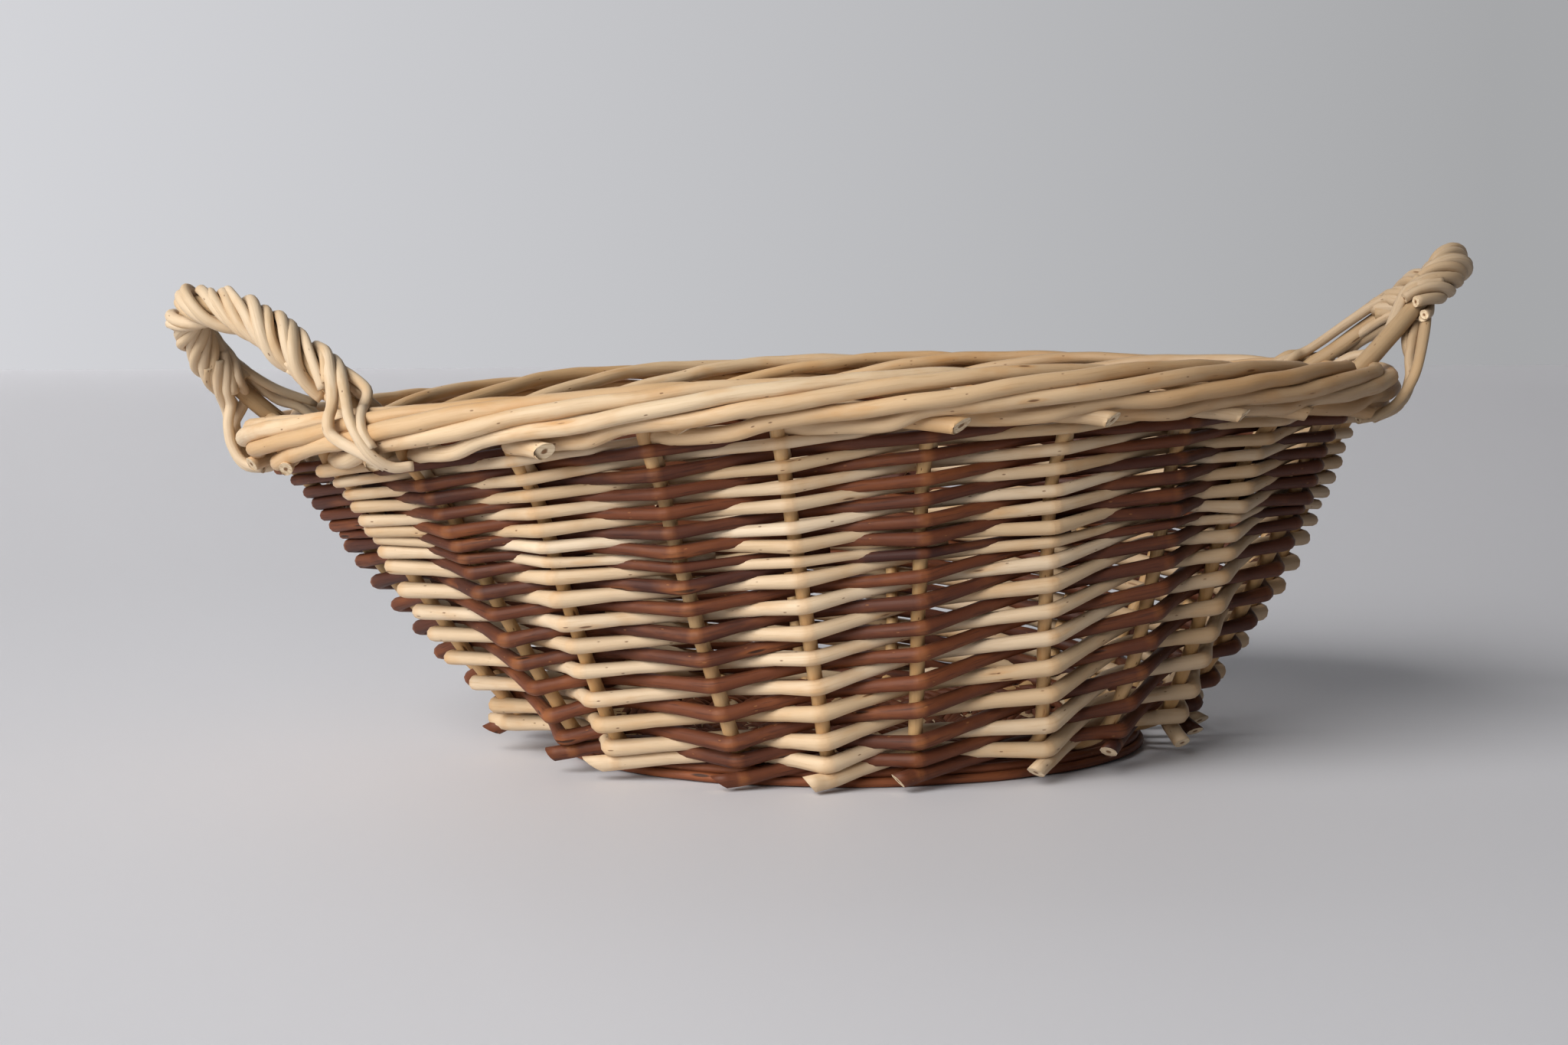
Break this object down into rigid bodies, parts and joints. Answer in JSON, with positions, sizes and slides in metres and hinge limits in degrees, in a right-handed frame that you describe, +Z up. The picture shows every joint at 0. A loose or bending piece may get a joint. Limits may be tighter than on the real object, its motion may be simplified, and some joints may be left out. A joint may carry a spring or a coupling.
{
  "type": "oval willow basket",
  "caption": "Shallow oval basket of white and brown willow with flaring sides, a rolled border and a small roped handle at each end.",
  "frame": {"origin": "middle of the underside of the base, under the middle of the whole basket with its handles", "axes": "+Z up, +X along the oval towards the right-hand handle, +Y towards the back wall"},
  "size_m": [0.5455, 0.338, 0.21],
  "materials": {
    "white_willow": "peeled willow, satin",
    "brown_willow": "willow in its bark, satin",
    "stake_willow": "peeled willow, matt",
    "stick_willow": "peeled willow, matt",
    "border_willow": "peeled willow, satin",
    "handle_willow": "peeled willow, satin"
  },
  "bodies": {
    "root": {"base_long_sticks": "stick_willow", "base_cross_sticks": "stick_willow", "base_weave": "brown_willow", "base_edge_ring": "brown_willow", "stake_01": "stake_willow", "stake_02": "stake_willow", "stake_03": "stake_willow", "stake_04": "stake_willow", "stake_05": "stake_willow", "stake_06": "stake_willow", "stake_07": "stake_willow", "stake_08": "stake_willow", "stake_09": "stake_willow", "stake_10": "stake_willow", "stake_11": "stake_willow", "stake_12": "stake_willow", "stake_13": "stake_willow", "stake_14": "stake_willow", "stake_15": "stake_willow", "stake_16": "stake_willow", "stake_17": "stake_willow", "stake_18": "stake_willow", "stake_19": "stake_willow", "stake_20": "stake_willow", "stake_21": "stake_willow", "stake_22": "stake_willow", "stake_23": "stake_willow", "stake_24": "stake_willow", "side_weave_lower": "white_willow", "side_weave_upper": "white_willow", "rolled_border": "border_willow", "left_handle_bow": "stick_willow", "left_handle_roping": "handle_willow", "left_front_lashing": "handle_willow", "left_rear_lashing": "handle_willow", "right_handle_bow": "stick_willow", "right_handle_roping": "handle_willow", "right_front_lashing": "handle_willow", "right_rear_lashing": "handle_willow"}
  },
  "joints": []
}
